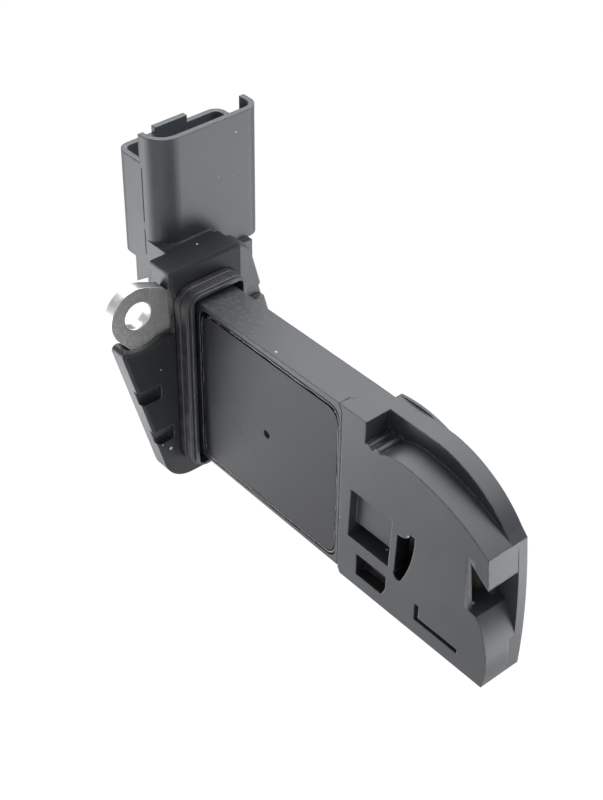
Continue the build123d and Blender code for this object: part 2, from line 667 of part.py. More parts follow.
def socket():
    """The plug socket: a walled box with a taller hood on its front side."""
    outer, inner = shroud_outline(0), shroud_outline(SHROUD_WALL)
    shape = slab_z(outer, SHROUD_LOW, SHROUD_HIGH)
    y_low, y_high = grown(SHROUD_Y, CUT)
    front = SHROUD_X[1]
    hood_side = polygon((front - HOOD_NEAR_LENGTH, y_low), (front + CUT, y_low), (front + CUT, y_high),
                        (front - HOOD_FAR_LENGTH, y_high))
    shape += slab_z(outer & hood_side, SHROUD_HIGH, HOOD_HIGH)
    rear_wall = (SHROUD_X[0], SHROUD_X[0] + SHROUD_WALL)
    tab_y = (SHROUD_MID_Y - TAB_WIDTH / 2, SHROUD_MID_Y + TAB_WIDTH / 2)
    shape += block(rear_wall, tab_y, (SHROUD_HIGH, SHROUD_HIGH + TAB_RISE))
    return shape - slab_z(inner, SHROUD_FLOOR, HOOD_HIGH + CUT)


def neck():
    """The neck that joins the socket to the flange, with the boss round the leads."""
    rear = SHROUD_X[0] + NECK_INSET
    low = FLANGE_TOP - NECK_DEPTH
    side = polygon((-FLANGE_BLOCK_THICK, FLANGE_TOP), (rear, FLANGE_TOP), (rear, low - NECK_HEEL),
                   (rear + NECK_RAMP, low), (-FLANGE_BLOCK_THICK, low))
    shape = slab_y(side, FACE_NEAR, FACE_NEAR + NECK_WIDTH)
    boss_low = LEAD_FIRST_Z - (LEAD_COUNT - 1) * LEAD_STEP_Z - LEAD_WIDTH / 2 - BOSS_WALL
    boss_x = (LEAD_X[0] - BOSS_WALL, -FLANGE_BLOCK_THICK)
    boss_far = max(SHROUD_Y[1] - BOSS_INSET, LEAD_FAR_Y + LEAD_WIDTH / 2 + BOSS_WALL)
    boss_y = (BOARD_FRONT - LEAD_THICK - BOSS_WALL, boss_far)
    return shape + block(boss_x, boss_y, (boss_low, SHROUD_LOW))


def lead(index):
    """One lead: pin in the socket, run across to the board plane and run into the blade."""
    pin_y = SHROUD_MID_Y + (index - (LEAD_COUNT - 1) / 2) * LEAD_PITCH
    level = LEAD_FIRST_Z - index * LEAD_STEP_Z
    half = LEAD_WIDTH / 2
    level_z = (level - half, level + half)
    pin = block(LEAD_X, (pin_y - half, pin_y + half), (level - half, SHROUD_FLOOR + PIN_LENGTH))
    pin = chamfer(pin.faces().sort_by(Axis.Z)[-1].edges(), PIN_TAPER)
    lead_y = (BOARD_FRONT - LEAD_THICK, BOARD_FRONT)
    across = block(LEAD_X, (lead_y[0], pin_y + half), level_z)
    return pin + across + block((LEAD_X[0], BOARD_X[0] + LEAD_OVERLAP), lead_y, level_z)


def circuit_cover():
    """The flush plate over the circuit, with a small gate mark on its face."""
    plate = slab_y(centred_rectangle(COVER_X, COVER_Z, COVER_CORNER_R), FACE_NEAR + COVER_INSET, SEAT_Y)
    return plate - Pos(PIP_X, FACE_NEAR + COVER_INSET, PIP_Z) * Sphere(PIP_R)


def cover_sealant():
    """The bead of sealant in the groove round the circuit cover, short of its lower far corner."""
    ring = centred_rectangle(SEALANT_BOX_X, SEALANT_BOX_Z, POCKET_CORNER_R)
    ring -= centred_rectangle(COVER_X, COVER_Z, COVER_CORNER_R)
    bead = slab_y(ring, FACE_NEAR + SEALANT_INSET, SEAT_Y)
    pit_x = (SEALANT_BOX_X[1] - CORNER_PIT, SEALANT_BOX_X[1] + CUT)
    pit_z = (SEALANT_BOX_Z[0] - CUT, SEALANT_BOX_Z[0] + CORNER_PIT)
    return bead - block(pit_x, (FACE_NEAR, SEAT_Y + CUT), pit_z)


def circuit_board():
    """The board on the floor of the cavity."""
    return block(BOARD_X, (BOARD_FRONT, CAVITY_BACK), BOARD_Z)


def control_chip():
    """The processing chip on the board."""
    middle_x, middle_z = BOARD_MID_X - CHIP_BACK, BOARD_MID_Z + CHIP_RISE
    half = CHIP_SIZE / 2
    return block((middle_x - half, middle_x + half), (BOARD_FRONT - CHIP_THICK, BOARD_FRONT),
                 (middle_z - half, middle_z + half))


def capacitor(index):
    """One of the small capacitors in a row on the board."""
    left = BOARD_MID_X + CAPACITOR_AHEAD
    low = BOARD_MID_Z + (index - (CAPACITOR_COUNT - 1) / 2) * CAPACITOR_PITCH
    return block((left, left + CAPACITOR_LENGTH), (BOARD_FRONT - CAPACITOR_THICK, BOARD_FRONT),
                 (low, low + CAPACITOR_WIDTH))


def sensing_element():
    """The heated sensing chip on the carrier."""
    middle_x = CARRIER_END - ELEMENT_BACK
    half = ELEMENT_SIZE / 2
    return block((middle_x - half, middle_x + half), (BOARD_FRONT - ELEMENT_THICK, BOARD_FRONT),
                 (CARRIER_MID_Z - half, CARRIER_MID_Z + half))


def thermistor():
    """The temperature sensor chip on the carrier, nearer to the board than the element."""
    left = CARRIER_END - THERMISTOR_BACK
    half = THERMISTOR_WIDTH / 2
    return block((left, left + THERMISTOR_LENGTH), (BOARD_FRONT - THERMISTOR_THICK, BOARD_FRONT),
                 (CARRIER_MID_Z - half, CARRIER_MID_Z + half))


def carrier_link(index):
    """One of the fine links from the board across the gap to the carrier."""
    middle_x = BOARD_X[1] + SEAM_GAP / 2
    z = CARRIER_MID_Z + (index - (LINK_COUNT - 1) / 2) * LINK_PITCH
    return block((middle_x - LINK_LENGTH / 2, middle_x + LINK_LENGTH / 2),
                 (BOARD_FRONT - LINK_THICK, BOARD_FRONT), (z - LINK_THICK / 2, z + LINK_THICK / 2))


def potting_gel(pieces):
    """The soft gel that covers the board, shaped round everything on it."""
    gel = block(CAVITY_X, (CAVITY_BACK - GEL_DEPTH, CAVITY_BACK), CAVITY_Z)
    for piece in pieces:
        gel -= piece
    return gel


def housing(metal):
    """The moulded body: flange, spigot, blade, neck and plug socket, round the metal."""
    body = flange() + spigot() + blade() + neck() + socket()
    for piece in metal:
        body -= piece
    return body


def main():
    """Make each piece and write it to its own file."""
    upper_lug = lug()
    lower_lug = turned(upper_lug)
    leads = [lead(i) for i in range(LEAD_COUNT)]
    capacitors = [capacitor(i) for i in range(CAPACITOR_COUNT)]
    links = [carrier_link(i) for i in range(LINK_COUNT)]
    board, chip, carrier = circuit_board(), control_chip(), carrier_box()
    parts = {
        "housing": housing([upper_lug, lower_lug] + leads),
        "flange_seal": seal(),
        "upper_lug": upper_lug,
        "lower_lug": lower_lug,
        "circuit_cover": circuit_cover(),
        "cover_sealant": cover_sealant(),
        "bypass_cover": bypass_cover(),
        "rear_bypass_cover": rear_cover(),
        "circuit_board": board,
        "control_chip": chip,
        "element_carrier": carrier,
        "sensing_element": sensing_element(),
        "temperature_sensor": thermistor(),
        "potting_gel": potting_gel([board, chip, carrier] + capacitors + leads + links),
    }
    for name, pieces in (("lead", leads), ("capacitor", capacitors), ("carrier_link", links)):
        for i, piece in enumerate(pieces):
            parts[f"{name}_{i + 1}"] = piece
    os.makedirs("parts", exist_ok=True)
    for name, shape in parts.items():
        export_step(shape, f"parts/{name}.step")


if __name__ == "__main__":
    main()
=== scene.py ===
"""Looks of a plug-in mass airflow sensor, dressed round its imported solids.

Everything is in metres, in the frame of the part: +X runs out of the flange's seating face along
the blade, +Z is the way out of the plug socket, and -Y is the side with the circuit cover.
"""

import logging
import math
from dataclasses import dataclass, field
from enum import Enum
from typing import Any, Dict, List, Optional, Sequence, Tuple

import bpy
from mathutils import Matrix, Vector


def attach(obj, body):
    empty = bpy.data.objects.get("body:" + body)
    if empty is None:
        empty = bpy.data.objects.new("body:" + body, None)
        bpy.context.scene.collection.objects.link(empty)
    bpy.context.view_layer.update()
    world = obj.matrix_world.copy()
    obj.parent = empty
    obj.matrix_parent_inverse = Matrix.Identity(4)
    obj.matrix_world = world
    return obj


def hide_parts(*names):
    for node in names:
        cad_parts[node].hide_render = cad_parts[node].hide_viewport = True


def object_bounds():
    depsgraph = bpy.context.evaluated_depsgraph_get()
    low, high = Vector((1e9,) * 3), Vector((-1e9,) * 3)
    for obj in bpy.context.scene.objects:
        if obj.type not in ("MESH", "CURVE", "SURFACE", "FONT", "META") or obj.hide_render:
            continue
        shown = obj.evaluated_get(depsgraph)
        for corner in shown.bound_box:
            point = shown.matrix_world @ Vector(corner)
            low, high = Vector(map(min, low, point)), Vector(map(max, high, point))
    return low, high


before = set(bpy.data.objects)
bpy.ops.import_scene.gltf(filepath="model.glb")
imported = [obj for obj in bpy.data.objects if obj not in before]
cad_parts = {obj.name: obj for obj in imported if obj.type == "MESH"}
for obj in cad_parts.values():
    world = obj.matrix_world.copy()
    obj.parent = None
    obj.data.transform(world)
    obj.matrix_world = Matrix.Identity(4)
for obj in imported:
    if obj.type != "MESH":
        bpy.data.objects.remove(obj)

MM = 0.001
BODY = "root"
LOG = logging.getLogger("airflow_sensor")
Colour = Tuple[float, float, float]
Point = Tuple[float, float, float]
Span = Tuple[float, float]
CAD_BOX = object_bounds()

# The ways that flat faces look.
OUTWARD, NEARWARD, UP = (1.0, 0.0, 0.0), (0.0, -1.0, 0.0), (0.0, 0.0, 1.0)

# Where the covers of the tip lie flush on its web, in millimetres along Y.
NEAR_JOINT = -0.85
FAR_JOINT = 2.45

# Sockets of the Mix node, which share names.
MIX_SHARE, VECTOR_A, VECTOR_B, COLOUR_A, COLOUR_B = 0, 4, 5, 6, 7
VECTOR_OUT, COLOUR_OUT = 1, 2


class Grain(Enum):
    """How the surface of a moulded piece is textured."""

    SPARK = "spark"
    SMOOTH = "smooth"


class Term:
    """A value in a shader. Arithmetic on it adds Math nodes and gives a new value."""

    def __init__(self, maker: "NodeMaker", socket: Any) -> None:
        """Wrap one output socket.

        Args:
            maker: the tree that the socket is in.
            socket: the output socket.
        """
        self.maker = maker
        self.socket = socket

    def _math(self, operation: str, first: Any, second: Any = None) -> "Term":
        """Add one Math node.

        Args:
            operation: the node's operation.
            first: the first value.
            second: the second value, if the operation has one.

        Returns:
            The node's result.
        """
        values = {0: first} if second is None else {0: first, 1: second}
        return self.maker.value("ShaderNodeMath", {"operation": operation}, values)

    def __add__(self, other: Any) -> "Term":
        """This plus another value."""
        return self._math("ADD", self, other)

    def __sub__(self, other: Any) -> "Term":
        """This less another value."""
        return self._math("SUBTRACT", self, other)

    def __mul__(self, other: Any) -> "Term":
        """This times another value."""
        return self._math("MULTIPLY", self, other)

    def __truediv__(self, other: Any) -> "Term":
        """This divided by another value."""
        return self._math("DIVIDE", self, other)

    def __pow__(self, other: Any) -> "Term":
        """This to a power."""
        return self._math("POWER", self, other)

    def __radd__(self, other: Any) -> "Term":
        """A number plus this."""
        return self._math("ADD", other, self)

    def __rsub__(self, other: Any) -> "Term":
        """A number less this."""
        return self._math("SUBTRACT", other, self)

    def __rmul__(self, other: Any) -> "Term":
        """A number times this."""
        return self._math("MULTIPLY", other, self)

    def __rtruediv__(self, other: Any) -> "Term":
        """A number divided by this."""
        return self._math("DIVIDE", other, self)

    def __rpow__(self, other: Any) -> "Term":
        """A number to the power of this."""
        return self._math("POWER", other, self)

    def __abs__(self) -> "Term":
        """This without its sign."""
        return self._math("ABSOLUTE", self)

    def below(self, limit: Any) -> "Term":
        """1 where this is less than a limit, and 0 elsewhere."""
        return self._math("LESS_THAN", self, limit)

    def above(self, limit: Any) -> "Term":
        """1 where this is greater than a limit, and 0 elsewhere."""
        return self._math("GREATER_THAN", self, limit)

    def larger(self, other: Any) -> "Term":
        """The larger of this and another value."""
        return self._math("MAXIMUM", self, other)

    def smaller(self, other: Any) -> "Term":
        """The smaller of this and another value."""
        return self._math("MINIMUM", self, other)

    def pingpong(self, turn: float) -> "Term":
        """This folded to and fro between 0 and a turning value."""
        return self._math("PINGPONG", self, turn)

    def ramp(self, low: float, high: float) -> "Term":
        """A smooth step from 0 at low to 1 at high.

        Args:
            low: where the step starts.
            high: where the step ends.

        Returns:
            The step's height.
        """
        settings = {"interpolation_type": "SMOOTHSTEP"}
        return self.maker.value("ShaderNodeMapRange", settings, {"Value": self, 1: low, 2: high})


class NodeMaker:
    """Makes one material and adds nodes to its tree."""

    BEVEL_SAMPLES = 6
    JOINT_REACH = 1.15
    EDGE_TURN = (0.04, 0.26)

    def __init__(self, name: str) -> None:
        """Start a material with an empty tree.

        Args:
            name: the material's name.
        """
        self.material = bpy.data.materials.new(name)
        self.material.use_nodes = True
        self.tree = self.material.node_tree
        self.tree.nodes.clear()
        self.place = self.node("ShaderNodeTexCoord").outputs["Object"]

    def node(self, kind: str, settings: Optional[Dict[str, Any]] = None,
             inputs: Optional[Dict[Any, Any]] = None) -> bpy.types.Node:
        """Add one node.

        Args:
            kind: the node's type.
            settings: properties of the node, which are set first.
            inputs: values or links for its sockets, by name or number.

        Returns:
            The node.
        """
        made = self.tree.nodes.new(kind)
        for name, setting in (settings or {}).items():
            setattr(made, name, setting)
        for key, given in (inputs or {}).items():
            socket = made.inputs[key]
            if isinstance(given, Term):
                given = given.socket
            if isinstance(given, bpy.types.NodeSocket):
                self.tree.links.new(given, socket)
            else:
                socket.default_value = given
        return made

    def value(self, kind: str, settings: Optional[Dict[str, Any]] = None,
              inputs: Optional[Dict[Any, Any]] = None) -> Term:
        """Add one node and take its first output as a value.

        Args:
            kind: the node's type.
            settings: properties of the node.
            inputs: values or links for its sockets.

        Returns:
            The first output.
        """
        return Term(self, self.node(kind, settings, inputs).outputs[0])

    def axes(self) -> Tuple[Term, Term, Term]:
        """The place on the piece.

        Returns:
            How far it is along X, Y and Z, in millimetres.
        """
        parts = self.node("ShaderNodeSeparateXYZ", None, {0: self.place})
        x, y, z = (Term(self, parts.outputs[i]) / MM for i in range(3))
        return x, y, z

    def noise(self, size_mm: float, detail: float = 2.0, roughness: float = 0.5,
              stretch: Point = (1.0, 1.0, 1.0)) -> Term:
        """Cloudy noise, near 0.5 on average.

        Args:
            size_mm: the size of one cloud.
            detail: how many finer octaves it has.
            roughness: how strong the finer octaves are.
            stretch: how many times longer the clouds are along each axis.

        Returns:
            The noise.
        """
        scale = tuple(1.0 / s for s in stretch)
        place = self.node("ShaderNodeMapping", None, {"Vector": self.place, "Scale": scale}).outputs[0]
        return self.value("ShaderNodeTexNoise", {"noise_dimensions": "3D"}, {
            "Vector": place, "Scale": 1.0 / (size_mm * MM), "Detail": detail, "Roughness": roughness})

    def cells(self, size_mm: float) -> Term:
        """Distance to the middle of the nearest random cell, in cell sizes.

        Args:
            size_mm: the size of one cell.

        Returns:
            The distance.
        """
        return self.value("ShaderNodeTexVoronoi", {"feature": "F1"}, {
            "Vector": self.place, "Scale": 1.0 / (size_mm * MM), "Randomness": 1.0})

    def over(self, share: Term, under: Any, colour: Colour) -> bpy.types.NodeSocket:
        """Lay a colour over another one.

        Args:
            share: how much of the new colour there is.
            under: the colour below, or the socket that carries it.
            colour: the new colour.

        Returns:
            The mixed colour.
        """
        below = under if isinstance(under, bpy.types.NodeSocket) else (*under, 1.0)
        mix = self.node("ShaderNodeMix", {"data_type": "RGBA"}, {
            MIX_SHARE: share, COLOUR_A: below, COLOUR_B: (*colour, 1.0)})
        return mix.outputs[COLOUR_OUT]

    def relief(self, height: Term, depth_mm: float, under: Any = None) -> bpy.types.NodeSocket:
        """Bump the surface.

        Args:
            height: the relief, from 0 to 1.
            depth_mm: how high 1 stands above 0.
            under: a normal to bump, if it isn't the surface's own.

        Returns:
            The bumped normal.
        """
        inputs = {"Height": height, "Distance": depth_mm * MM, "Strength": 1.0}
        if under is not None:
            inputs["Normal"] = under
        return self.node("ShaderNodeBump", None, inputs).outputs[0]

    def soft_edges(self, radius_mm: float, joints: Sequence[float] = (),
                   joints_from: float = 0.0) -> bpy.types.NodeSocket:
        """A normal that turns smoothly over each moulded edge, but not at a flush joint.

        Args:
            radius_mm: the radius of the edges.
            joints: places along Y, in millimetres, where the next piece lies flush.
            joints_from: where along X the joints begin, in millimetres.

        Returns:
            The normal.
        """
        soft = self.node("ShaderNodeBevel", {"samples": self.BEVEL_SAMPLES},
                         {"Radius": radius_mm * MM}).outputs[0]
        if not joints:
            return soft
        x, y, _ = self.axes()
        share = x.below(joints_from)
        apart = abs(y - joints[0])
        for place in joints[1:]:
            apart = apart.smaller(abs(y - place))
        share = share.larger(apart.above(radius_mm * self.JOINT_REACH))
        flat = self.node("ShaderNodeNewGeometry").outputs["Normal"]
        mix = self.node("ShaderNodeMix", {"data_type": "VECTOR"}, {
            MIX_SHARE: share, VECTOR_A: flat, VECTOR_B: soft})
        return mix.outputs[VECTOR_OUT]

    def edge_share(self, soft: bpy.types.NodeSocket) -> Term:
        """How near each place is to an edge, from the turn of its softened normal.

        Args:
            soft: the softened normal.

        Returns:
            1 on the edge and 0 away from it.
        """
        flat = self.node("ShaderNodeNewGeometry").outputs["Normal"]
        turn = self.node("ShaderNodeVectorMath", {"operation": "DOT_PRODUCT"}, {0: soft, 1: flat})
        return (1.0 - Term(self, turn.outputs["Value"])).ramp(*self.EDGE_TURN)

    def surface(self, values: Dict[str, Any]) -> bpy.types.Material:
        """Close the tree with a Principled shader.

        Args:
            values: the shader's inputs.

        Returns:
            The material.
        """
        shader = self.node("ShaderNodeBsdfPrincipled", None, values)
        self.node("ShaderNodeOutputMaterial", None, {"Surface": shader.outputs[0]})
        return self.material


@dataclass(frozen=True)
class SurfaceMark:
    """A line or patch on a surface, such as a parting line, a scuff, or painted shade or painted light.

    Attributes:
        low: the low corner of the box that the mark fills, in millimetres.
        high: the high corner of that box.
        colour: the colour of the mark.
        share: how strongly it shows.
        fade: how far it runs out at the sides of the box.
        mottle: the size of its blotches, or 0 for an even mark.
        gloss: how much smoother it is than the surface round it.
        blotch_edge: where in the noise a blotch begins and is full.
    """

    low: Point
    high: Point
    colour: Colour
    share: float = 0.8
    fade: float = 0.15
    mottle: float = 0.0
    gloss: float = -0.1
    blotch_edge: Span = (0.5, 0.62)

    def mask(self, nodes: NodeMaker) -> Term:
        """How strongly the mark shows at each place.

        Args:
            nodes: the tree that it is drawn in.

        Returns:
            0 off the mark and its share on it.
        """
        shown: Optional[Term] = None
        for axis, low, high in zip(nodes.axes(), self.low, self.high):
            inside = axis.ramp(low - self.fade, low + self.fade) * (high - axis).ramp(-self.fade, self.fade)
            shown = inside if shown is None else shown * inside
        if self.mottle:
            shown = shown * nodes.noise(self.mottle, detail=4.0, roughness=0.65).ramp(*self.blotch_edge)
        return shown * self.share


@dataclass(frozen=True)
class ArcMark:
    """A faint crease along an arc through three places.

    Attributes:
        start: where it starts, along X and Z, in millimetres.
        middle: a place on the way.
        end: where it ends.
        width: half the breadth of the crease.
        outside: how far outside each end it starts to show.
        inside: how far inside each end it shows in full.
    """

    start: Span
    middle: Span
    end: Span
    width: float
    outside: float = 0.5
    inside: float = 2.0

    def circle(self) -> Tuple[float, float, float]:
        """The circle through the three places.

        Returns:
            Its middle along X and Z, and its radius.
        """
        (ax, az), (bx, bz), (cx, cz) = self.start, self.middle, self.end
        twice = 2 * (ax * (bz - cz) + bx * (cz - az) + cx * (az - bz))
        squares = [x * x + z * z for x, z in (self.start, self.middle, self.end)]
        x = (squares[0] * (bz - cz) + squares[1] * (cz - az) + squares[2] * (az - bz)) / twice
        z = (squares[0] * (cx - bx) + squares[1] * (ax - cx) + squares[2] * (bx - ax)) / twice
        return x, z, math.hypot(ax - x, az - z)

    def mask(self, nodes: NodeMaker) -> Term:
        """How strongly the crease shows at each place.

        Args:
            nodes: the tree that it is drawn in.

        Returns:
            0 off the crease and 1 on it.
        """
        middle_x, middle_z, radius = self.circle()
        x, _, z = nodes.axes()
        across = abs(((x - middle_x) ** 2.0 + (z - middle_z) ** 2.0) ** 0.5 - radius)
        begun = x.ramp(self.start[0] - self.outside, self.start[0] + self.inside)
        along = begun * (self.end[0] - x).ramp(-self.outside, self.inside)
        return (self.width - across).ramp(-self.width, self.width) * along


@dataclass(frozen=True)
class MouldedPlastic:
    """Glass-filled plastic, dark and satin, with a fine grain, slightly cloudy sheen and a painted
    highlight along its edges.
    """

    name: str
    colour: Colour = (0.0330, 0.0362, 0.0410)
    pale: Colour = (0.0450, 0.0490, 0.0555)
    pale_edge: Span = (0.38, 0.64)
    cloud_size: float = 9.0
    cloud_share: float = 0.7
    fleck_ratio: float = 2.2
    specular: float = 0.5
    roughness: float = 0.43
    unevenness: float = 0.10
    grain: Grain = Grain.SPARK
    grain_size: float = 0.16
    grain_height: float = 0.010
    spark_ratio: float = 1.6
    spark_share: float = 0.5
    edge_radius: float = 0.32
    # Painted highlight: a pale colour laid along the moulded edges, broken into patches.
    wear_and_highlight: Colour = (0.300, 0.310, 0.325)
    edge_highlight_share: float = 0.55
    highlight_patch_size: float = 1.3
    highlight_patch_edge: Span = (0.36, 0.60)
    shadow: Colour = (0.006, 0.006, 0.007)
    shadow_share: float = 0.6
    crease_depth: float = 0.03
    joints: Tuple[float, ...] = ()
    joints_from: float = 0.0
    marks: Tuple[SurfaceMark, ...] = ()
    arcs: Tuple[ArcMark, ...] = ()

    def build(self) -> bpy.types.Material:
        """Make the material.

        Returns:
            The material.
        """
        nodes = NodeMaker(self.name)
        clouds = nodes.noise(self.cloud_size, detail=3.0)
        flecks = nodes.noise(self.grain_size * self.fleck_ratio)
        mixed = clouds * self.cloud_share + flecks * (1.0 - self.cloud_share)
        colour = nodes.over(mixed.ramp(*self.pale_edge), self.colour, self.pale)
        rough = self.roughness + (clouds - 0.5) * self.unevenness + (flecks - 0.5) * self.unevenness
        for mark in self.marks:
            shown = mark.mask(nodes)
            colour = nodes.over(shown, colour, mark.colour)
            rough = rough - shown * mark.gloss
        fine = nodes.noise(self.grain_size, detail=1.0)
        if self.grain is Grain.SPARK:
            fine = (fine + nodes.cells(self.grain_size * self.spark_ratio) * self.spark_share).smaller(1.0)
        normal = nodes.soft_edges(self.edge_radius, self.joints, self.joints_from)
        # Painted highlight along the softened edges, broken into patches.
        patches = nodes.noise(self.highlight_patch_size, detail=3.0, roughness=0.6).ramp(*self.highlight_patch_edge)
        colour = nodes.over(nodes.edge_share(normal) * patches * self.edge_highlight_share, colour, self.wear_and_highlight)
        for arc in self.arcs:
            shown = arc.mask(nodes)
            colour = nodes.over(shown * self.shadow_share, colour, self.shadow)
            normal = nodes.relief(1.0 - shown, self.crease_depth, under=normal)
        return nodes.surface({
            "Base Color": colour,
            "Roughness": rough,
            "Specular IOR Level": self.specular,
            "Normal": nodes.relief(fine, self.grain_height, under=normal),
        })


@dataclass(frozen=True)
class SealRubber:
    """Dark dull rubber with a faint bloom, and a painted highlight along its edges."""

    name: str
    colour: Colour = (0.0290, 0.0295, 0.0330)
    bloom: Colour = (0.0560, 0.0570, 0.0620)
    bloom_size: float = 1.8
    bloom_edge: Span = (0.45, 0.75)
    # Painted highlight: this pale colour is laid along the rubber's edges.
    pale: Colour = (0.210, 0.215, 0.225)
    highlight_share: float = 0.5
    edge_radius: float = 0.14
    roughness: float = 0.45
    unevenness: float = 0.25
    grain_size: float = 0.35
    grain_height: float = 0.015

    def build(self) -> bpy.types.Material:
        """Make the material.

        Returns:
            The material.
        """
        nodes = NodeMaker(self.name)
        clouds = nodes.noise(self.bloom_size, detail=3.0)
        soft = nodes.soft_edges(self.edge_radius)
        colour = nodes.over(clouds.ramp(*self.bloom_edge), self.colour, self.bloom)
        return nodes.surface({
            # Painted highlight along the edges of the rubber.
            "Base Color": nodes.over(nodes.edge_share(soft) * self.highlight_share, colour, self.pale),
            "Roughness": self.roughness + (clouds - 0.5) * self.unevenness,
            "Normal": nodes.relief(nodes.noise(self.grain_size), self.grain_height, under=soft),
        })


@dataclass(frozen=True)
class PlatedSteel:
    """Zinc plated steel, bright with a mottled, slightly grainy face."""

    name: str
    colour: Colour = (0.93, 0.92, 0.90)
    dull: Colour = (0.68, 0.68, 0.68)
    dull_edge: Span = (0.35, 0.7)
    mottle_size: float = 0.9
    spangle_size: float = 0.55
    spangle_share: float = 0.4
    spangle_sheen: float = 0.08
    relief_height: float = 0.02
    edge_radius: float = 0.12
    roughness: float = 0.36
    unevenness: float = 0.35

    def build(self) -> bpy.types.Material:
        """Make the material.

        Returns:
            The material.
        """
        nodes = NodeMaker(self.name)
        spangle = nodes.cells(self.spangle_size)
        mottle = nodes.noise(self.mottle_size, detail=4.0, roughness=0.65)
        height = mottle * (1.0 - self.spangle_share) + spangle * self.spangle_share
        return nodes.surface({
            "Base Color": nodes.over(mottle.ramp(*self.dull_edge), self.colour, self.dull),
            "Metallic": 1.0,
            "Roughness": self.roughness + (mottle - 0.5) * self.unevenness + spangle * self.spangle_sheen,
            "Normal": nodes.relief(height, self.relief_height, under=nodes.soft_edges(self.edge_radius)),
        })


@dataclass(frozen=True)
class PouredAdhesive:
    """Black adhesive, glossy where it has flowed."""

    name: str
    colour: Colour = (0.006, 0.006, 0.006)
    flow_size: float = 1.4
    flow_height: float = 0.08
    roughness: float = 0.16
    unevenness: float = 0.2

    def build(self) -> bpy.types.Material:
        """Make the material.

        Returns:
            The material.
        """
        nodes = NodeMaker(self.name)
        flow = nodes.noise(self.flow_size)
        return nodes.surface({
            "Base Color": (*self.colour, 1.0),
            "Roughness": self.roughness + (flow - 0.5) * self.unevenness,
            "Normal": nodes.relief(flow, self.flow_height),
        })


@dataclass(frozen=True)
class BoardLaminate:
    """Green circuit board with fine copper tracks under the mask."""

    name: str
    mask: Colour = (0.012, 0.085, 0.035)
    track: Colour = (0.03, 0.16, 0.07)
    wander_size: float = 6.0
    wander_reach: float = 3.0
    density_x: float = 0.9
    density_z: float = 0.45
    fold: float = 0.5
    track_width: float = 0.06
    track_height: float = 0.02
    roughness: float = 0.32
    track_sheen: float = 0.08

    def lines(self, along: Term, density: float) -> Term:
        """How far each place is from the nearest of a row of tracks.

        Args:
            along: the place across the row, in millimetres.
            density: how closely the tracks follow each other.

        Returns:
            The distance, as a share of the tracks' pitch.
        """
        return abs((along * density).pingpong(self.fold) - self.fold / 2.0)

    def build(self) -> bpy.types.Material:
        """Make the material.

        Returns:
            The material.
        """
        nodes = NodeMaker(self.name)
        x, _, z = nodes.axes()
        wander = nodes.noise(self.wander_size, detail=1.0) * self.wander_reach
        rows = self.lines(x + wander, self.density_x)
        track = rows.smaller(self.lines(z + wander, self.density_z)).below(self.track_width)
        return nodes.surface({
            "Base Color": nodes.over(track, self.mask, self.track),
            "Roughness": self.roughness + track * self.track_sheen,
            "Normal": nodes.relief(track, self.track_height),
        })


@dataclass(frozen=True)
class TinnedMetal:
    """Tin plated copper alloy, drawn along its length."""

    name: str
    colour: Colour = (0.70, 0.69, 0.65)
    wear_and_highlight: Colour = (0.62, 0.52, 0.38)
    worn_edge: Span = (0.55, 0.75)
    patch_size: float = 2.4
    drawn_size: float = 0.12
    drawn_stretch: Point = (1.0, 1.0, 14.0)
    drawn_height: float = 0.006
    roughness: float = 0.24
    unevenness: float = 0.14

    def build(self) -> bpy.types.Material:
        """Make the material.

        Returns:
            The material.
        """
        nodes = NodeMaker(self.name)
        drawn = nodes.noise(self.drawn_size, stretch=self.drawn_stretch)
        patches = nodes.noise(self.patch_size)
        return nodes.surface({
            "Base Color": nodes.over(patches.ramp(*self.worn_edge), self.colour, self.wear_and_highlight),
            "Metallic": 1.0,
            "Roughness": self.roughness + drawn * self.unevenness,
            "Normal": nodes.relief(drawn, self.drawn_height),
        })


@dataclass(frozen=True)
class FiredCeramic:
    """Fired ceramic, a polished chip or moulded resin, speckled at a very fine scale."""

    name: str
    colour: Colour
    speck: Colour
    roughness: float = 0.3
    unevenness: float = 0.2
    speck_size: float = 0.2
    speck_edge: Span = (0.5, 0.66)
    speck_height: float = 0.01

    def build(self) -> bpy.types.Material:
        """Make the material.

        Returns:
            The material.
        """
        nodes = NodeMaker(self.name)
        specks = nodes.noise(self.speck_size, detail=3.0, roughness=0.7)
        return nodes.surface({
            "Base Color": nodes.over(specks.ramp(*self.speck_edge), self.colour, self.speck),
            "Roughness": self.roughness + (specks - 0.5) * self.unevenness,
            "Normal": nodes.relief(specks, self.speck_height),
        })


@dataclass(frozen=True)
class SoftGel:
    """Clear silicone gel over the circuit."""

    name: str
    colour: Colour = (0.72, 0.70, 0.60)
    roughness: float = 0.05
    unevenness: float = 0.1
    cloud_size: float = 2.0
    ripple_size: float = 3.0
    ripple_height: float = 0.05
    clearness: float = 0.9
    refraction: float = 1.41

    def build(self) -> bpy.types.Material:
        """Make the material.

        Returns:
            The material.
        """
        nodes = NodeMaker(self.name)
        return nodes.surface({
            "Base Color": (*self.colour, 1.0),
            "Roughness": self.roughness + nodes.noise(self.cloud_size) * self.unevenness,
            "Transmission Weight": self.clearness,
            "IOR": self.refraction,
            "Normal": nodes.relief(nodes.noise(self.ripple_size, detail=1.0), self.ripple_height),
        })


def dress(node: str, material: bpy.types.Material) -> None:
    """Give a CAD node its material and log it.

    Args:
        node: the CAD node's name.
        material: the material it gets.
    """
    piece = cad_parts[node]
    piece.data.materials.clear()
    piece.data.materials.append(material)
    LOG.info("%s dressed in %s", node, material.name)


